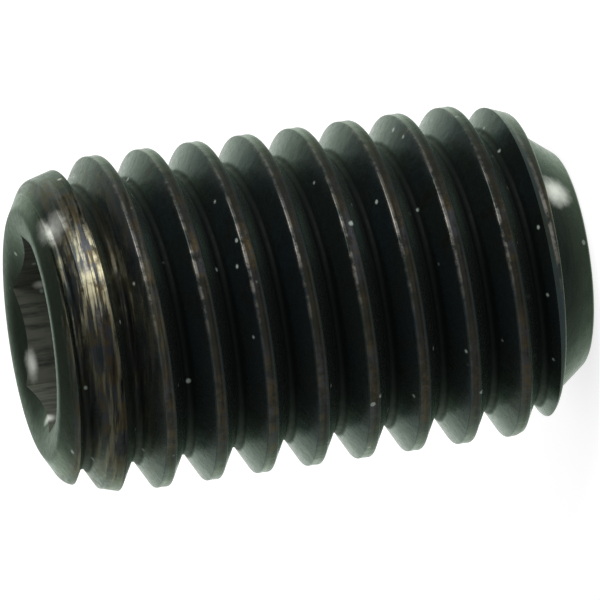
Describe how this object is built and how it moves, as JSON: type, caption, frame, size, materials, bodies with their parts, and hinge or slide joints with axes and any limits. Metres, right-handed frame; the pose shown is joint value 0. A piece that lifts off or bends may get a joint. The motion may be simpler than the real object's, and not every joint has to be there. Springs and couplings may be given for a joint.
{
  "type": "grub set screw",
  "caption": "Headless threaded set screw with a hexagon socket at its top and a chamfered cup point, in blackened steel.",
  "frame": {"origin": "on the screw's axis, in the plane of the rim of the cup point", "axes": "+Z along the screw's axis, from the cup point to the socket end, with two corners of the hexagon socket on the X axis"},
  "size_m": [0.0098, 0.0098, 0.016],
  "materials": {
    "blackened_steel": "black oxide with a film of oil, worn to bare metal on the crests"
  },
  "bodies": {
    "root": {"grub_screw": "blackened_steel"}
  },
  "joints": []
}
